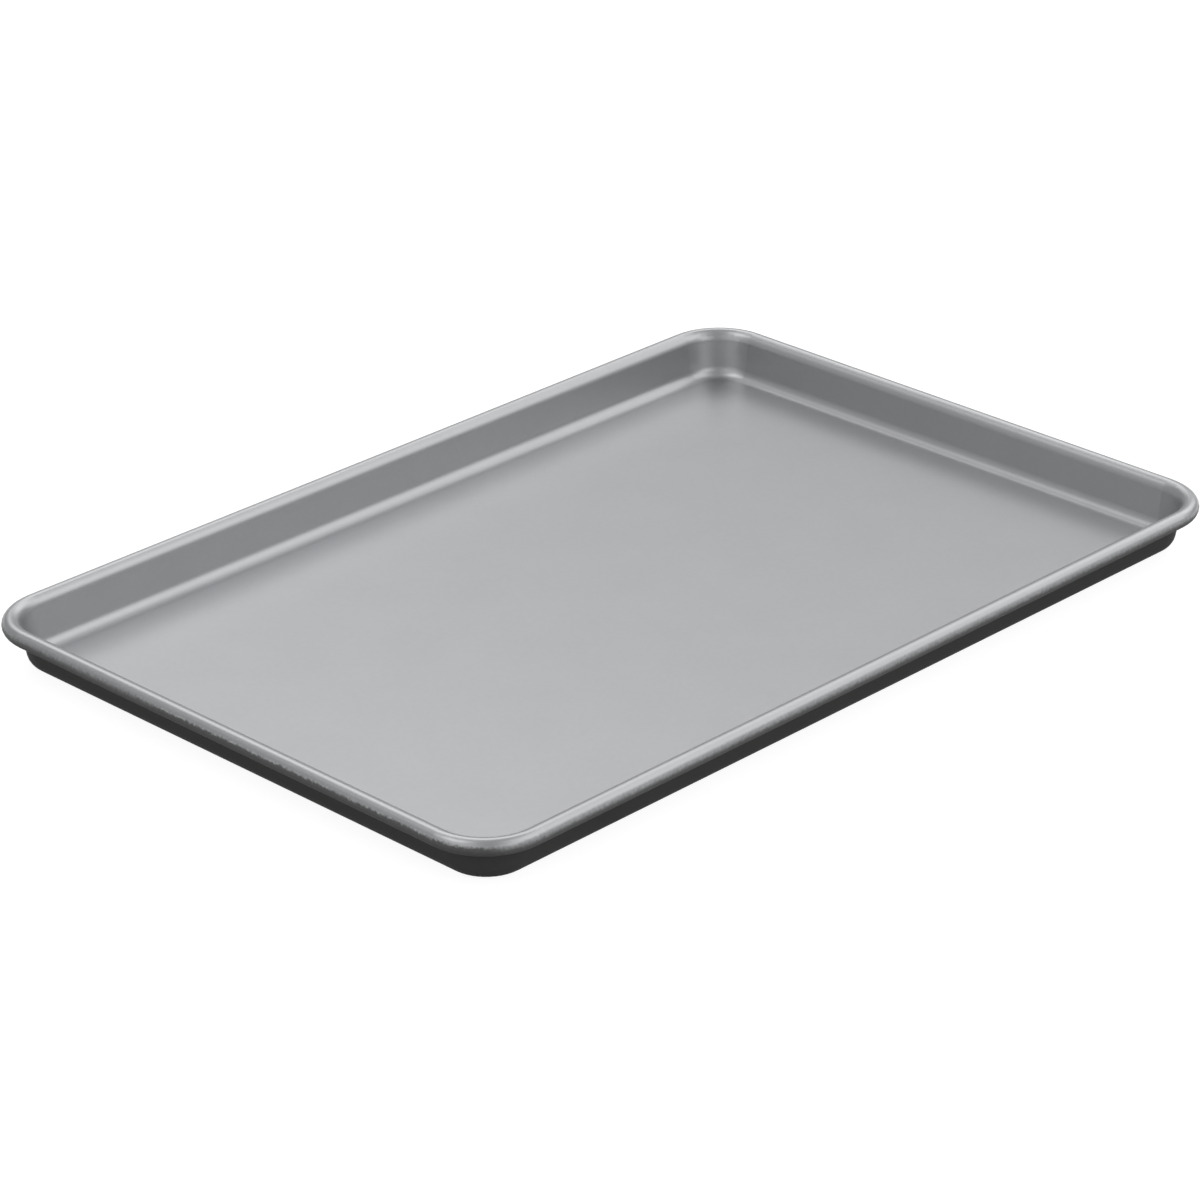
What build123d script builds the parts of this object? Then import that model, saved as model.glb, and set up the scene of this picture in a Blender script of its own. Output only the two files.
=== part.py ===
"""Jelly roll pan: one drawn sheet with flared walls, its edge rolled over a steel wire.

X runs along the long sides, Y along the short ones and Z up. The origin is on the table, under the pan's middle.
"""

import os
from math import acos, cos, degrees, radians, sin

from build123d import *

# Pan, in millimetres and degrees
pan_length = 393.7  # over the rim
pan_width = 265.9  # over the rim
pan_height = 19.7  # table to the top of the rim
sheet_thickness = 0.8
wall_flare = 10.0  # from upright
foot_radius = 5.8  # outside, where the wall turns into the floor
floor_corner_radius = 11.0  # of the flat floor in plan

# Rim: the wall bends outwards at its top, and the sheet's edge is rolled over the wire
wire_diameter = 4.7
wire_clearance = 0.05  # all round the wire
bend_radius = 4.5  # of the sheet's inside face, where the wall bends over into the roll
bend_start = 20.0  # how far the bend begins from the rim's top, towards the pan's inside
seam_gap = 1.2  # from the roll's cut edge to the wall
wire_end_gap = 1.5  # between the wire's butted ends

# The rim's section follows from the wire
bore_radius = wire_diameter / 2 + wire_clearance
rim_radius = bore_radius + sheet_thickness
wire_height = pan_height - rim_radius
half_length = pan_length / 2 - rim_radius
half_width = pan_width / 2 - rim_radius

# The bend runs on from the roll at a tangent, so its middle is on the line from where it starts to the wire's middle
bend_offset = bend_radius - rim_radius
bend_middle = (bend_offset * sin(radians(bend_start)), -bend_offset * cos(radians(bend_start)))
start_angle = 90 + bend_start
wall_angle = 180 - wall_flare
bend_angle = wall_angle - start_angle

# The roll stops where its cut edge is still the seam's gap away from the wall
wall_reach = bend_radius - sheet_thickness - bend_offset * sin(radians(bend_start + wall_flare))
open_angle = degrees(acos((wall_reach - seam_gap) / rim_radius))
roll_angle = 360 - bend_angle - open_angle

# The wall leaves the bend at a tangent and ends where the foot's arc can take it down to the floor
flare_sine = sin(radians(wall_flare))
flare_cosine = cos(radians(wall_flare))
bend_to_foot = bend_radius + foot_radius - sheet_thickness
wall_length = (wire_height - foot_radius + bend_middle[1] + bend_to_foot * flare_sine) / flare_cosine
floor_inset = bend_to_foot * flare_cosine + wall_length * flare_sine - bend_middle[0]
rim_corner_radius = floor_corner_radius + floor_inset  # of the wire's middle in plan

os.makedirs("parts", exist_ok=True)

# The sheet's section stands at the middle of the front side: X points out of the pan, Y up, the wire's middle is zero
section_plane = Plane(origin=(0, -half_width, wire_height), x_dir=(0, -1, 0), z_dir=(-1, 0, 0))

with BuildPart() as pan_shell:
    with BuildSketch(Plane.XY):
        RectangleRounded(2 * (half_length - floor_inset), 2 * (half_width - floor_inset), floor_corner_radius)
    extrude(amount=sheet_thickness)
    # A quarter of the wall and rim, which the mirrors complete around the floor
    with BuildLine() as quarter_rim:
        FilletPolyline(
            (0, -half_width, wire_height),
            (half_length, -half_width, wire_height),
            (half_length, 0, wire_height),
            radius=rim_corner_radius,
        )
    with BuildSketch(section_plane) as sheet_section:
        with BuildLine():
            inside_roll = CenterArc((0, 0), rim_radius, start_angle, -roll_angle)
            inside_bend = CenterArc(bend_middle, bend_radius, start_angle, bend_angle)
            inside_wall = PolarLine(inside_bend @ 1, wall_length, -90 - wall_flare)
            inside_foot = JernArc(inside_wall @ 1, inside_wall % 1, foot_radius - sheet_thickness, wall_flare - 90)
            outside_roll = CenterArc((0, 0), bore_radius, start_angle, -roll_angle)
            outside_bend = CenterArc(bend_middle, bend_radius - sheet_thickness, start_angle, bend_angle)
            outside_wall = PolarLine(outside_bend @ 1, wall_length, -90 - wall_flare)
            outside_foot = JernArc(outside_wall @ 1, outside_wall % 1, foot_radius, wall_flare - 90)
            Line(inside_roll @ 1, outside_roll @ 1)
            Line(inside_foot @ 1, outside_foot @ 1)
        make_face()
    sweep(sections=sheet_section.sketch, path=quarter_rim.wire())
    mirror(about=Plane.YZ)
    mirror(about=Plane.XZ)
pan_shell.part.label = "pan_shell"
export_step(pan_shell.part, "parts/pan_shell.step")

with BuildPart() as rim_wire:
    with BuildLine() as wire_path:
        FilletPolyline(
            (wire_end_gap / 2, half_width, wire_height),
            (half_length, half_width, wire_height),
            (half_length, -half_width, wire_height),
            (-half_length, -half_width, wire_height),
            (-half_length, half_width, wire_height),
            (-wire_end_gap / 2, half_width, wire_height),
            radius=rim_corner_radius,
        )
    wire_middle = wire_path.wire()
    with BuildSketch(Plane(origin=wire_middle @ 0, z_dir=wire_middle % 0)):
        Circle(wire_diameter / 2)
    sweep(path=wire_middle)
rim_wire.part.label = "rim_wire"
export_step(rim_wire.part, "parts/rim_wire.step")
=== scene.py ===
"""Dresses the jelly roll pan for its photograph: coats, rim wire, table, studio light and camera.

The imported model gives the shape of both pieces. This script gives them their finishes. Lengths are in metres.
X runs along the pan's long sides, and Z goes up from its base.
"""

from __future__ import annotations

import logging
import math
from dataclasses import dataclass, field
from enum import Enum

import bpy
from mathutils import Matrix, Vector


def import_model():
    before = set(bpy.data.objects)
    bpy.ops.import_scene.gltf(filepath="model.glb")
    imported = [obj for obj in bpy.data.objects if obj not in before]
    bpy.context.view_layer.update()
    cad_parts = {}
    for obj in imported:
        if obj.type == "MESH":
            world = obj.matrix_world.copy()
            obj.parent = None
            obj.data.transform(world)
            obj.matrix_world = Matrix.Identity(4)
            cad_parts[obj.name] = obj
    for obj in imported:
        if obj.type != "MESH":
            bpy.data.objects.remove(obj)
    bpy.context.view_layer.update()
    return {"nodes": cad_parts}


LOG = logging.getLogger("jelly_roll_pan")
MILLIMETRE = 0.001

# Where the Mix node keeps its factor and its two values, for numbers and for colours
NUMBER_SOCKETS = (0, 2, 3)
COLOUR_SOCKETS = (0, 6, 7)
NUMBER_RESULT = 0
COLOUR_RESULT = 2

NOISE_MIDDLE = 0.5
CLOUD_OCTAVES = 2.0
GRAIN_OCTAVES = 3.0
FLECK_OCTAVES = 4.0
LARGE_FACES_FIRST = 100

Socket = bpy.types.NodeSocket
Colour = tuple[float, float, float]
Place = tuple[float, float, float]


class Part(Enum):
    """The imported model's nodes that get a finish."""

    SHELL = "pan_shell"
    WIRE = "rim_wire"


class NodeSheet:
    """Adds nodes to one tree and wires them, so that a formula in nodes reads as a formula."""

    def __init__(self, tree: bpy.types.NodeTree) -> None:
        """Starts on a tree.

        Args:
            tree: The material's, world's or group's node tree.
        """
        self.tree = tree

    def add(self, kind: str, **settings: object) -> bpy.types.Node:
        """Adds one node.

        Args:
            kind: The node's type name.
            **settings: Attributes to set on it.

        Returns:
            The new node.
        """
        node = self.tree.nodes.new(kind)
        for name, setting in settings.items():
            setattr(node, name, setting)
        return node

    def feed(self, socket: Socket, value: object) -> None:
        """Links a socket to another one, or sets it to a plain value.

        Args:
            socket: The input to feed.
            value: An output socket, a number or a tuple of numbers.
        """
        if isinstance(value, bpy.types.NodeSocket):
            self.tree.links.new(value, socket)
        else:
            socket.default_value = value

    def math(self, operation: str, *values: object) -> Socket:
        """One step of arithmetic.

        Args:
            operation: The Math node's operation.
            *values: Its inputs in order, numbers or sockets.

        Returns:
            The result.
        """
        node = self.add("ShaderNodeMath", operation=operation)
        for socket, value in zip(node.inputs, values):
            self.feed(socket, value)
        return node.outputs[0]

    def total(self, *terms: tuple[float, Socket]) -> Socket:
        """A weighted sum.

        Args:
            *terms: Each term's weight and socket.

        Returns:
            The sum.
        """
        result = None
        for weight, socket in terms:
            term = self.math("MULTIPLY", socket, weight)
            result = term if result is None else self.math("ADD", result, term)
        return result

    def length(self, across: Socket, up: Socket) -> Socket:
        """Distance from zero in a plane.

        Args:
            across: First coordinate.
            up: Second coordinate.

        Returns:
            The distance.
        """
        squares = self.math("ADD", self.math("POWER", across, 2.0), self.math("POWER", up, 2.0))
        return self.math("SQRT", squares)

    def ramp(self, value: Socket, low: float, high: float, at_low: float = 0.0, at_high: float = 1.0) -> Socket:
        """A smooth step from one value to another.

        Args:
            value: What is measured.
            low: Where the step starts.
            high: Where it ends.
            at_low: Result up to the start.
            at_high: Result from the end.

        Returns:
            The stepped value.
        """
        node = self.add("ShaderNodeMapRange", interpolation_type="SMOOTHSTEP")
        for name, number in (("From Min", low), ("From Max", high), ("To Min", at_low), ("To Max", at_high)):
            node.inputs[name].default_value = number
        self.feed(node.inputs["Value"], value)
        return node.outputs["Result"]

    def mix(self, factor: object, a: object, b: object) -> Socket:
        """A blend of two numbers.

        Args:
            factor: Share of the second.
            a: The first.
            b: The second.

        Returns:
            The blend.
        """
        node = self.add("ShaderNodeMix", data_type="FLOAT")
        for index, value in zip(NUMBER_SOCKETS, (factor, a, b)):
            self.feed(node.inputs[index], value)
        return node.outputs[NUMBER_RESULT]

    def mix_colour(self, factor: object, a: object, b: object, blend: str = "MIX") -> Socket:
        """A blend of two colours.

        Args:
            factor: Share of the second.
            a: The first colour or its socket.
            b: The second colour or its socket.
            blend: The Mix node's blend type.

        Returns:
            The blend.
        """
        node = self.add("ShaderNodeMix", data_type="RGBA", blend_type=blend)
        for index, value in zip(COLOUR_SOCKETS, (factor, a, b)):
            self.feed(node.inputs[index], (*value, 1.0) if isinstance(value, tuple) else value)
        return node.outputs[COLOUR_RESULT]

    def noise(self, place: Socket, scale: object, octaves: float) -> Socket:
        """Noise over the surface.

        Args:
            place: Where it is read.
            scale: Cells per metre, a number or a socket.
            octaves: How many finer noises are added to it.

        Returns:
            A value about the middle of zero and one.
        """
        node = self.add("ShaderNodeTexNoise")
        self.feed(node.inputs["Vector"], place)
        self.feed(node.inputs["Scale"], scale)
        node.inputs["Detail"].default_value = octaves
        return node.outputs["Fac"]

    def grey(self, value: Socket) -> Socket:
        """A grey.

        Args:
            value: How light it is.

        Returns:
            The grey as a colour.
        """
        node = self.add("ShaderNodeCombineColor")
        for socket in node.inputs[:3]:
            self.feed(socket, value)
        return node.outputs[0]


@dataclass(frozen=True)
class SheetSizes:
    """The sheet's section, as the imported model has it."""

    length: float = 393.7 * MILLIMETRE
    width: float = 265.9 * MILLIMETRE
    height: float = 19.7 * MILLIMETRE
    thickness: float = 0.8 * MILLIMETRE
    rim_radius: float = 3.2 * MILLIMETRE
    bend_radius: float = 4.5 * MILLIMETRE
    bend_start: float = math.radians(20.0)
    foot_radius: float = 5.8 * MILLIMETRE
    floor_corner_radius: float = 11.0 * MILLIMETRE
    flare: float = math.radians(10.0)

    @property
    def wire_height(self) -> float:
        """Height of the rim wire's middle."""
        return self.height - self.rim_radius

    @property
    def bend_middle(self) -> tuple[float, float]:
        """Middle of the bend between wall and roll, out of the pan and up from the wire's middle."""
        offset = self.bend_radius - self.rim_radius
        return offset * math.sin(self.bend_start), -offset * math.cos(self.bend_start)

    @property
    def floor_inset(self) -> float:
        """Where the flat floor ends.

        Returns:
            How far the floor's edge lies inside the wire's middle.
        """
        sine, cosine = math.sin(self.flare), math.cos(self.flare)
        out, up = self.bend_middle
        bend_to_foot = self.bend_radius + self.foot_radius - self.thickness
        wall = (self.wire_height - self.foot_radius + up + bend_to_foot * sine) / cosine
        return bend_to_foot * cosine + wall * sine - out

    @property
    def corner_radius(self) -> float:
        """Radius in plan of the wire's middle at the corners."""
        return self.floor_corner_radius + self.floor_inset

    def past_wire(self, out: float, up: float) -> float:
        """How far a point of the section lies past the wire's middle, square to the wall and into the pan."""
        return up * math.sin(self.flare) - out * math.cos(self.flare)

    def up_wall(self, out: float, up: float) -> float:
        """How far a point of the section lies above the wire's middle, along the wall."""
        return out * math.sin(self.flare) + up * math.cos(self.flare)


class SectionGroup:
    """The node group that tells where on the sheet's section a point lies.

    Underside is one on the face that is outside, below and in the roll's bore. Roll Turn is the angle from the
    roll's top. Past Corner grows from zero at the middle of a corner towards the long side, and is negative
    towards the short side.
    """

    def __init__(self, sizes: SheetSizes) -> None:
        """Builds the group.

        Args:
            sizes: The sheet's sizes.
        """
        self.sizes = sizes
        self.tree = bpy.data.node_groups.new("sheet_section", "ShaderNodeTree")
        face = self.tree.interface
        face.new_socket("Place", in_out="INPUT", socket_type="NodeSocketVector")
        face.new_socket("Underside", in_out="OUTPUT", socket_type="NodeSocketFloat")
        face.new_socket("Roll Turn", in_out="OUTPUT", socket_type="NodeSocketFloat")
        face.new_socket("Past Corner", in_out="OUTPUT", socket_type="NodeSocketFloat")
        self.sheet = NodeSheet(self.tree)
        entry = self.sheet.add("NodeGroupInput")
        leave = self.sheet.add("NodeGroupOutput")
        split = self.sheet.add("ShaderNodeSeparateXYZ")
        self.sheet.feed(split.inputs[0], entry.outputs["Place"])
        past = [
            self._past_straight(split.outputs[0], sizes.length),
            self._past_straight(split.outputs[1], sizes.width),
        ]
        out = self._out_of_pan(*past)
        up = self.sheet.math("SUBTRACT", split.outputs[2], sizes.wire_height)
        on_roll, underside = self._zones(out, up)
        self.sheet.feed(leave.inputs["Underside"], underside)
        self.sheet.feed(leave.inputs["Roll Turn"], self._turn(out, up, on_roll))
        self.sheet.feed(leave.inputs["Past Corner"], self.sheet.math("SUBTRACT", past[1], past[0]))

    def _past_straight(self, place: Socket, size: float) -> Socket:
        """How far a point lies past the straight stretch of the rim in one direction.

        Args:
            place: The point's coordinate in that direction.
            size: The pan's size over the rim in that direction.

        Returns:
            The distance, negative before the corner starts.
        """
        straight = size / 2 - self.sizes.rim_radius - self.sizes.corner_radius
        return self.sheet.math("SUBTRACT", self.sheet.math("ABSOLUTE", place), straight)

    def _out_of_pan(self, past_x: Socket, past_y: Socket) -> Socket:
        """Distance in plan from the wire's middle line, out of the pan.

        Args:
            past_x: How far the point lies past the long sides' straight stretch.
            past_y: How far it lies past the short sides' straight stretch.

        Returns:
            The distance, negative inside the pan.
        """
        sheet = self.sheet
        round_corner = sheet.length(sheet.math("MAXIMUM", past_x, 0.0), sheet.math("MAXIMUM", past_y, 0.0))
        inward = sheet.math("MINIMUM", sheet.math("MAXIMUM", past_x, past_y), 0.0)
        return sheet.math("SUBTRACT", sheet.math("ADD", round_corner, inward), self.sizes.corner_radius)

    def _zones(self, out: Socket, up: Socket) -> tuple[Socket, Socket]:
        """Which stretch of the section a point is on, and which of the sheet's two faces.

        Args:
            out: Distance from the wire's middle, out of the pan.
            up: Height above the wire's middle.

        Returns:
            One on the roll and zero elsewhere, and one on the sheet's underside and zero on its upper face.
        """
        sheet, sizes = self.sheet, self.sizes
        sine, cosine = math.sin(sizes.flare), math.cos(sizes.flare)
        half_sheet = sizes.thickness / 2
        bend_out, bend_up = sizes.bend_middle
        foot_out, foot_up = -sizes.floor_inset, sizes.foot_radius - sizes.wire_height
        past_wire = sheet.total((sine, up), (-cosine, out))
        up_wall = sheet.total((sine, out), (cosine, up))
        wall_middle = sizes.past_wire(bend_out, bend_up) + sizes.bend_radius - half_sheet
        # Into the pan from the line where the roll ends and the bend starts
        past_roll = sheet.total((-math.cos(sizes.bend_start), out), (-math.sin(sizes.bend_start), up))
        on_bend_height = sheet.math("GREATER_THAN", up_wall, sizes.up_wall(bend_out, bend_up))
        high_roll = sheet.math("LESS_THAN", past_roll, 0.0)
        low_roll = sheet.math("LESS_THAN", past_wire, wall_middle - sizes.thickness)
        on_roll = sheet.mix(on_bend_height, low_roll, high_roll)
        from_bend = sheet.length(sheet.math("SUBTRACT", out, bend_out), sheet.math("SUBTRACT", up, bend_up))
        from_foot = sheet.length(sheet.math("SUBTRACT", out, foot_out), sheet.math("SUBTRACT", up, foot_up))
        in_bore = sheet.math("LESS_THAN", sheet.length(out, up), sizes.rim_radius - half_sheet)
        under_bend = sheet.math("LESS_THAN", from_bend, sizes.bend_radius - half_sheet)
        under_wall = sheet.math("LESS_THAN", past_wire, wall_middle)
        under_foot = sheet.math("GREATER_THAN", from_foot, sizes.foot_radius - half_sheet)
        under_floor = sheet.math("LESS_THAN", up, half_sheet - sizes.wire_height)
        on_floor = sheet.math("LESS_THAN", out, foot_out)
        on_foot = sheet.math("LESS_THAN", up_wall, sizes.up_wall(foot_out, foot_up))
        low = sheet.mix(on_floor, under_foot, under_floor)
        side = sheet.mix(on_foot, under_wall, low)
        side = sheet.mix(on_bend_height, side, under_bend)
        side = sheet.mix(on_floor, side, under_floor)
        return on_roll, sheet.mix(on_roll, side, in_bore)

    def _turn(self, out: Socket, up: Socket, on_roll: Socket) -> Socket:
        """How far round the roll a point is.

        Args:
            out: Distance from the wire's middle, out of the pan.
            up: Height above the wire's middle.
            on_roll: One on the roll.

        Returns:
            The angle from the roll's top in radians, zero off the roll.
        """
        sheet = self.sheet
        cosine = sheet.math("DIVIDE", up, sheet.length(out, up))
        return sheet.math("MULTIPLY", sheet.math("ARCCOSINE", cosine), on_roll)


def grain_group() -> bpy.types.NodeTree:
    """The group for the fine grain and cloudy shade that each finish here has.

    Returns:
        The group. Sizes go in as metres and depths as shares of the colour. Out come the shade to multiply a
        colour by, the cloud and the grain.
    """
    group = bpy.data.node_groups.new("grain_and_cloud", "ShaderNodeTree")
    face = group.interface
    face.new_socket("Place", in_out="INPUT", socket_type="NodeSocketVector")
    for name in ("Grain Size", "Cloud Size", "Grain Depth", "Cloud Depth"):
        face.new_socket(name, in_out="INPUT", socket_type="NodeSocketFloat")
    face.new_socket("Shade", in_out="OUTPUT", socket_type="NodeSocketColor")
    for name in ("Cloud", "Grain"):
        face.new_socket(name, in_out="OUTPUT", socket_type="NodeSocketFloat")
    sheet = NodeSheet(group)
    entry = sheet.add("NodeGroupInput").outputs
    leave = sheet.add("NodeGroupOutput")
    grain = sheet.noise(entry["Place"], sheet.math("DIVIDE", 1.0, entry["Grain Size"]), GRAIN_OCTAVES)
    cloud = sheet.noise(entry["Place"], sheet.math("DIVIDE", 1.0, entry["Cloud Size"]), CLOUD_OCTAVES)
    shade = 1.0
    for value, depth in ((grain, entry["Grain Depth"]), (cloud, entry["Cloud Depth"])):
        swing = sheet.math("MULTIPLY", sheet.math("SUBTRACT", value, NOISE_MIDDLE), depth)
        shade = sheet.math("ADD", swing, shade)
    sheet.feed(leave.inputs["Shade"], sheet.grey(shade))
    sheet.feed(leave.inputs["Cloud"], cloud)
    sheet.feed(leave.inputs["Grain"], grain)
    return group


@dataclass(frozen=True)
class Grain:
    """How coarse and how strong a finish's grain and cloudy shade are."""

    grain_size: float
    cloud_size: float
    grain_depth: float
    cloud_depth: float

    def place_in(self, sheet: NodeSheet, group: bpy.types.NodeTree, place: Socket) -> bpy.types.Node:
        """Puts the group into a material with this grain's values.

        Args:
            sheet: The material's nodes.
            group: The shared group.
            place: Where it is read.

        Returns:
            The group's node.
        """
        node = sheet.add("ShaderNodeGroup", node_tree=group)
        sheet.feed(node.inputs["Place"], place)
        node.inputs["Grain Size"].default_value = self.grain_size
        node.inputs["Cloud Size"].default_value = self.cloud_size
        node.inputs["Grain Depth"].default_value = self.grain_depth
        node.inputs["Cloud Depth"].default_value = self.cloud_depth
        return node


@dataclass(frozen=True)
class Coat:
    """A baked-on coat."""

    colour: Colour
    metallic: float
    roughness: float


@dataclass(frozen=True)
class Softbox:
    """A broad soft light, far away.

    Angles are in degrees. Azimuth zero is along +Y from the pan and 90 along +X. The spread goes from the
    light's middle to its edge.
    """

    azimuth: float
    elevation: float
    spread: float
    strength: float

    def direction(self) -> Vector:
        """Where the light is.

        Returns:
            The unit vector from the pan to it.
        """
        azimuth, elevation = math.radians(self.azimuth), math.radians(self.elevation)
        across = math.cos(elevation)
        return Vector((math.sin(azimuth) * across, math.cos(azimuth) * across, math.sin(elevation)))

    def place_in(self, sheet: NodeSheet, towards: Socket) -> Socket:
        """Puts the light into the sky.

        Args:
            sheet: The world's nodes.
            towards: The direction that is looked up.

        Returns:
            Its light in that direction.
        """
        facing = sheet.add("ShaderNodeVectorMath", operation="DOT_PRODUCT")
        sheet.feed(facing.inputs[0], towards)
        facing.inputs[1].default_value = self.direction()
        edge = math.cos(math.radians(self.spread))
        return sheet.ramp(facing.outputs["Value"], edge, 1.0, 0.0, self.strength)


def new_material(name: str) -> tuple[bpy.types.Material, NodeSheet, bpy.types.Node, Socket]:
    """Starts a material.

    Args:
        name: Its name.

    Returns:
        The material, its nodes, its Principled BSDF and the place on the object.
    """
    material = bpy.data.materials.new(name)
    material.use_nodes = True
    sheet = NodeSheet(material.node_tree)
    place = sheet.add("ShaderNodeTexCoord").outputs["Object"]
    return material, sheet, material.node_tree.nodes["Principled BSDF"], place


def smooth_shading(node: bpy.types.Object) -> None:
    """Weights a node's normals by face area, so that its flats shade flat and its curves smooth.

    Args:
        node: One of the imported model's nodes.
    """
    weighted = node.modifiers.new("face_weighted_normals", "WEIGHTED_NORMAL")
    weighted.mode = "FACE_AREA"
    weighted.weight = LARGE_FACES_FIRST
    weighted.keep_sharp = True


@dataclass
class PanShell:
    """The drawn and coated sheet with its rolled rim.

    The two edges and the mist are angles round the roll from its top, where each starts and ends. The mist's
    shares and the spray's wanders are first for the ragged stretches of the rim and then for the misty ones.
    """

    sizes: SheetSizes = field(default_factory=SheetSizes)
    silver: Coat = Coat(colour=(0.502, 0.509, 0.519), metallic=0.9, roughness=0.34)
    # Dark coat on the underside and the roll's lower side: partly a darker outside coat, partly painted shade of
    # the outside walls facing the shadowed table
    dark: Coat = Coat(colour=(0.087, 0.087, 0.086), metallic=0.0, roughness=0.65)
    dark_gloss: float = 0.05
    grain: Grain = Grain(
        grain_size=2.2 * MILLIMETRE,
        cloud_size=30 * MILLIMETRE,
        grain_depth=0.06,
        cloud_depth=0.06,
    )
    bump_depth: float = 0.004 * MILLIMETRE
    spray_edge: tuple[float, float] = (math.radians(57.0), math.radians(82.0))
    soft_edge: tuple[float, float] = (math.radians(48.0), math.radians(102.0))
    spray_mist: tuple[float, float] = (math.radians(70.0), math.radians(165.0))
    # Dark shares of the mist, one per stretch of rim, set for how light falls on each side: painted shade
    mist_and_shade_shares: tuple[float, float] = (0.15, 0.25)
    far_rise: float = math.radians(12.0)
    mist_onset: float = 12 * MILLIMETRE
    mist_far_end: tuple[float, float] = (25 * MILLIMETRE, 62 * MILLIMETRE)
    spray_fleck: float = 1.3 * MILLIMETRE
    spray_wanders: tuple[float, float] = (0.65, 0.5)

    def roll_spray_and_painted_shade(self, sheet: NodeSheet, section: bpy.types.Node, place: Socket) -> Socket:
        """Where the dark coat shows on the roll, past the silver spray's edge and its thin mist, partly a real
        spray edge and partly painted shade.

        The edge is ragged on the short sides. It is soft and misty on the long sides and on the short sides' ends
        next to the long side at the back. There and all along that side it also stands higher on the roll. The
        darkening of the roll's lower side is in part painted shade, for the dark ground and contact shadow that
        it would reflect, and the mist's shares differ by side for how the light falls there.

        Args:
            sheet: The material's nodes.
            section: The section group in the material.
            place: Where on the pan a point is.

        Returns:
            Share of the dark coat and painted shade on the roll.
        """
        split = sheet.add("ShaderNodeSeparateXYZ")
        sheet.feed(split.inputs[0], place)
        long_side = sheet.ramp(section.outputs["Past Corner"], 0.0, self.mist_onset)
        far_end = sheet.ramp(split.outputs[1], *self.mist_far_end)
        misty = sheet.math("MAXIMUM", long_side, far_end)
        fleck = sheet.math("SUBTRACT", sheet.noise(place, 1 / self.spray_fleck, FLECK_OCTAVES), NOISE_MIDDLE)
        wander = sheet.math("MULTIPLY", sheet.mix(misty, *self.spray_wanders), fleck)
        turn = sheet.math("ADD", section.outputs["Roll Turn"], wander)
        turn = sheet.math("ADD", turn, sheet.math("MULTIPLY", far_end, self.far_rise))
        edge = sheet.mix(misty, sheet.ramp(turn, *self.spray_edge), sheet.ramp(turn, *self.soft_edge))
        share = sheet.mix(misty, *self.mist_and_shade_shares)
        return sheet.mix(share, edge, sheet.ramp(turn, *self.spray_mist))

    def dress(self, node: bpy.types.Object, grain: bpy.types.NodeTree) -> None:
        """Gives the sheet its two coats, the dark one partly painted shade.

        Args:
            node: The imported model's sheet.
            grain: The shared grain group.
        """
        material, sheet, principled, place = new_material("pan_coats")
        section = sheet.add("ShaderNodeGroup", node_tree=SectionGroup(self.sizes).tree)
        sheet.feed(section.inputs["Place"], place)
        speckle = self.grain.place_in(sheet, grain, place).outputs
        spray_and_shade_share = self.roll_spray_and_painted_shade(sheet, section, place)
        # Dark on the underside and past the spray's edge on the roll, partly painted shade
        dark = sheet.math("MAXIMUM", section.outputs["Underside"], spray_and_shade_share)
        colour = sheet.mix_colour(dark, self.silver.colour, self.dark.colour)
        sheet.feed(principled.inputs["Base Color"], sheet.mix_colour(1.0, colour, speckle["Shade"], "MULTIPLY"))
        sheet.feed(principled.inputs["Metallic"], sheet.mix(dark, self.silver.metallic, self.dark.metallic))
        sheet.feed(principled.inputs["Roughness"], sheet.mix(dark, self.silver.roughness, self.dark.roughness))
        principled.inputs["Specular IOR Level"].default_value = self.dark_gloss
        bump = sheet.add("ShaderNodeBump")
        bump.inputs["Distance"].default_value = self.bump_depth
        sheet.feed(bump.inputs["Height"], speckle["Grain"])
        sheet.feed(principled.inputs["Normal"], bump.outputs["Normal"])
        smooth_shading(node)
        node.material_slots[0].material = material
        LOG.info("%s: silver coat above, dark coat below", node.name)


@dataclass(frozen=True)
class DrawnSteel:
    """Bare drawn steel, rougher where its cloudy shade is high."""

    colour: Colour = (0.5, 0.5, 0.5)
    grain: Grain = Grain(
        grain_size=0.4 * MILLIMETRE,
        cloud_size=6 * MILLIMETRE,
        grain_depth=0.4,
        cloud_depth=0.3,
    )
    cloud_range: tuple[float, float] = (0.3, 0.7)
    roughness_range: tuple[float, float] = (0.3, 0.45)


@dataclass
class RimWire:
    """The steel wire inside the rolled rim."""

    steel: DrawnSteel = DrawnSteel()

    def dress(self, node: bpy.types.Object, grain: bpy.types.NodeTree) -> None:
        """Gives the wire its drawn steel.

        Args:
            node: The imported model's wire.
            grain: The shared grain group.
        """
        material, sheet, principled, place = new_material("drawn_wire")
        speckle = self.steel.grain.place_in(sheet, grain, place).outputs
        colour = sheet.mix_colour(1.0, self.steel.colour, speckle["Shade"], "MULTIPLY")
        sheet.feed(principled.inputs["Base Color"], colour)
        principled.inputs["Metallic"].default_value = 1.0
        rubbed = sheet.ramp(speckle["Cloud"], *self.steel.cloud_range, *self.steel.roughness_range)
        sheet.feed(principled.inputs["Roughness"], rubbed)
        smooth_shading(node)
        node.material_slots[0].material = material
        LOG.info("%s: bare steel", node.name)


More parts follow.
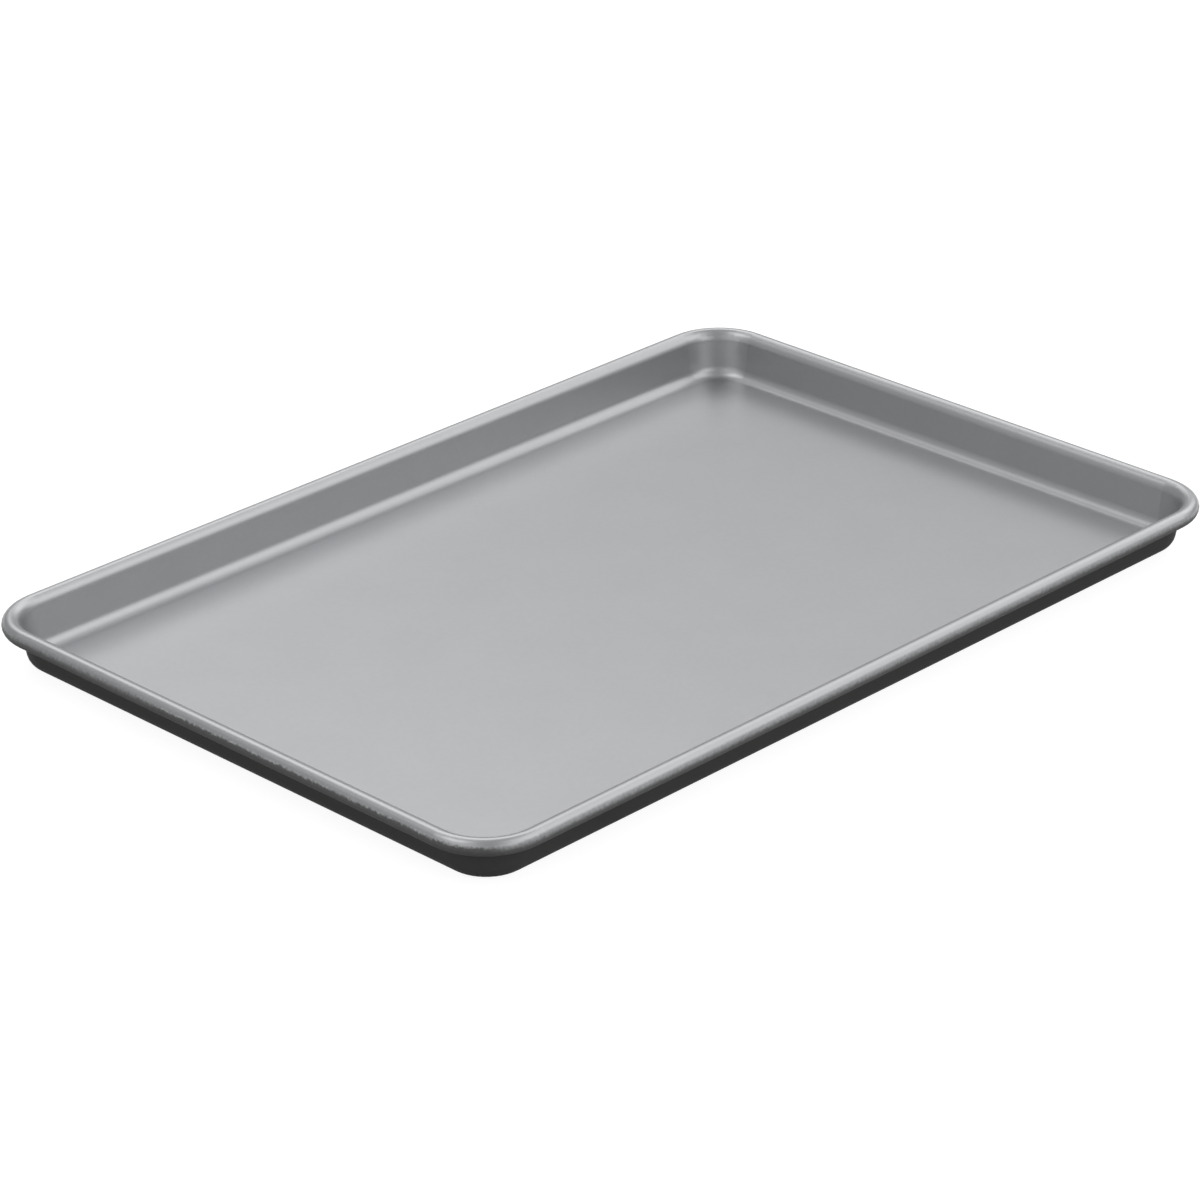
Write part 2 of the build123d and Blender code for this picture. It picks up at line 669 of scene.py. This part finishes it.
@dataclass
class Studio:
    """The table and the sky of soft lights."""

    table_half_size: float = 6.0
    table_drop: float = 0.02 * MILLIMETRE
    table_colour: Colour = (0.3, 0.3, 0.3)
    table_roughness: float = 0.9
    table_grain: Grain = Grain(
        grain_size=2 * MILLIMETRE,
        cloud_size=150 * MILLIMETRE,
        grain_depth=0.02,
        cloud_depth=0.02,
    )
    background_white: float = 0.9
    horizon: float = 0.42
    zenith: float = 0.34
    zenith_height: float = 0.84
    softboxes: tuple[Softbox, ...] = (
        Softbox(azimuth=33.0, elevation=45.5, spread=26.0, strength=1.36),
        Softbox(azimuth=78.0, elevation=36.0, spread=25.0, strength=1.27),
        Softbox(azimuth=140.0, elevation=44.0, spread=39.0, strength=0.98),
        Softbox(azimuth=188.0, elevation=24.0, spread=22.0, strength=0.92),
        Softbox(azimuth=270.0, elevation=31.0, spread=39.0, strength=0.44),
        Softbox(azimuth=308.0, elevation=60.0, spread=23.0, strength=1.4),
    )

    def build_table(self, grain: bpy.types.NodeTree) -> None:
        """Builds the pale table that the pan stands on.

        It looks white by itself and keeps the pan's soft shadow. It lies a hair under the pan's base, so that the
        two flat faces don't flicker where they meet.

        Args:
            grain: The shared grain group.
        """
        reach, level = self.table_half_size, -self.table_drop
        mesh = bpy.data.meshes.new("table_top")
        signs = ((-1, -1), (1, -1), (1, 1), (-1, 1))
        corners = [(x_sign * reach, y_sign * reach, level) for x_sign, y_sign in signs]
        mesh.from_pydata(corners, [], [(0, 1, 2, 3)])
        table = bpy.data.objects.new("table_top", mesh)
        bpy.context.scene.collection.objects.link(table)
        material, sheet, principled, place = new_material("pale_table")
        speckle = self.table_grain.place_in(sheet, grain, place).outputs
        colour = sheet.mix_colour(1.0, self.table_colour, speckle["Shade"], "MULTIPLY")
        sheet.feed(principled.inputs["Base Color"], colour)
        principled.inputs["Roughness"].default_value = self.table_roughness
        principled.inputs["Specular IOR Level"].default_value = 0.0
        path = sheet.add("ShaderNodeLightPath").outputs
        seen = sheet.math("MAXIMUM", path["Is Camera Ray"], path["Is Glossy Ray"])
        seen = sheet.math("MAXIMUM", seen, path["Is Transmission Ray"])
        principled.inputs["Emission Strength"].default_value = self.background_white
        sheet.feed(principled.inputs["Emission Color"], sheet.grey(seen))
        mesh.materials.append(material)
        LOG.info("table: ready")

    def build_sky(self) -> None:
        """Builds the studio round the pan: even grey, a little darker overhead, with broad soft lights."""
        world = bpy.data.worlds.new("studio_sky")
        bpy.context.scene.world = world
        world.use_nodes = True
        sheet = NodeSheet(world.node_tree)
        towards = sheet.add("ShaderNodeTexCoord").outputs["Generated"]
        height = sheet.add("ShaderNodeSeparateXYZ")
        sheet.feed(height.inputs[0], towards)
        light = sheet.ramp(height.outputs[2], 0.0, self.zenith_height, self.horizon, self.zenith)
        for box in self.softboxes:
            light = sheet.math("ADD", light, box.place_in(sheet, towards))
        sheet.feed(world.node_tree.nodes["Background"].inputs["Color"], sheet.grey(light))
        LOG.info("sky: %d softboxes", len(self.softboxes))


@dataclass
class PhotoCamera:
    """The camera as fitted to the photographed rim and foot.

    Angles are in degrees, and azimuth zero is on the side of -Y. The lens and its sensor are in millimetres.
    """

    azimuth: float = -45.292
    elevation: float = 25.598
    roll: float = -0.603
    distance: float = 1640.56 * MILLIMETRE
    aim: Place = (-28.0 * MILLIMETRE, -19.56 * MILLIMETRE, 16.5 * MILLIMETRE)
    lens: float = 134.936
    sensor: float = 36.0

    def build(self) -> None:
        """Places the camera and makes it the scene's own."""
        azimuth, elevation, roll = (math.radians(angle) for angle in (self.azimuth, self.elevation, self.roll))
        across = math.cos(elevation)
        back = Vector((math.sin(azimuth) * across, -math.cos(azimuth) * across, math.sin(elevation)))
        level_right = Vector((math.cos(azimuth), math.sin(azimuth), 0.0))
        level_up = back.cross(level_right)
        right = level_right * math.cos(roll) + level_up * math.sin(roll)
        up = level_up * math.cos(roll) - level_right * math.sin(roll)
        data = bpy.data.cameras.new("photo_camera")
        data.lens = self.lens
        data.sensor_width = self.sensor
        camera = bpy.data.objects.new("photo_camera", data)
        bpy.context.scene.collection.objects.link(camera)
        place = Vector(self.aim) + back * self.distance
        turn = Matrix((right, up, back)).transposed().to_4x4()
        camera.matrix_world = Matrix.Translation(place) @ turn
        bpy.context.scene.camera = camera
        LOG.info("camera: %.1f mm lens at %.2f m", self.lens, self.distance)


def main() -> None:
    """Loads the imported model, dresses its pieces and sets up the studio."""
    logging.basicConfig(level=logging.INFO, format="%(message)s")
    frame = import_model()
    grain = grain_group()
    PanShell().dress(frame["nodes"][Part.SHELL.value], grain)
    RimWire().dress(frame["nodes"][Part.WIRE.value], grain)
    studio = Studio()
    studio.build_table(grain)
    studio.build_sky()
    PhotoCamera().build()
    bpy.context.scene.view_settings.view_transform = "Standard"


if __name__ == "__main__":
    main()
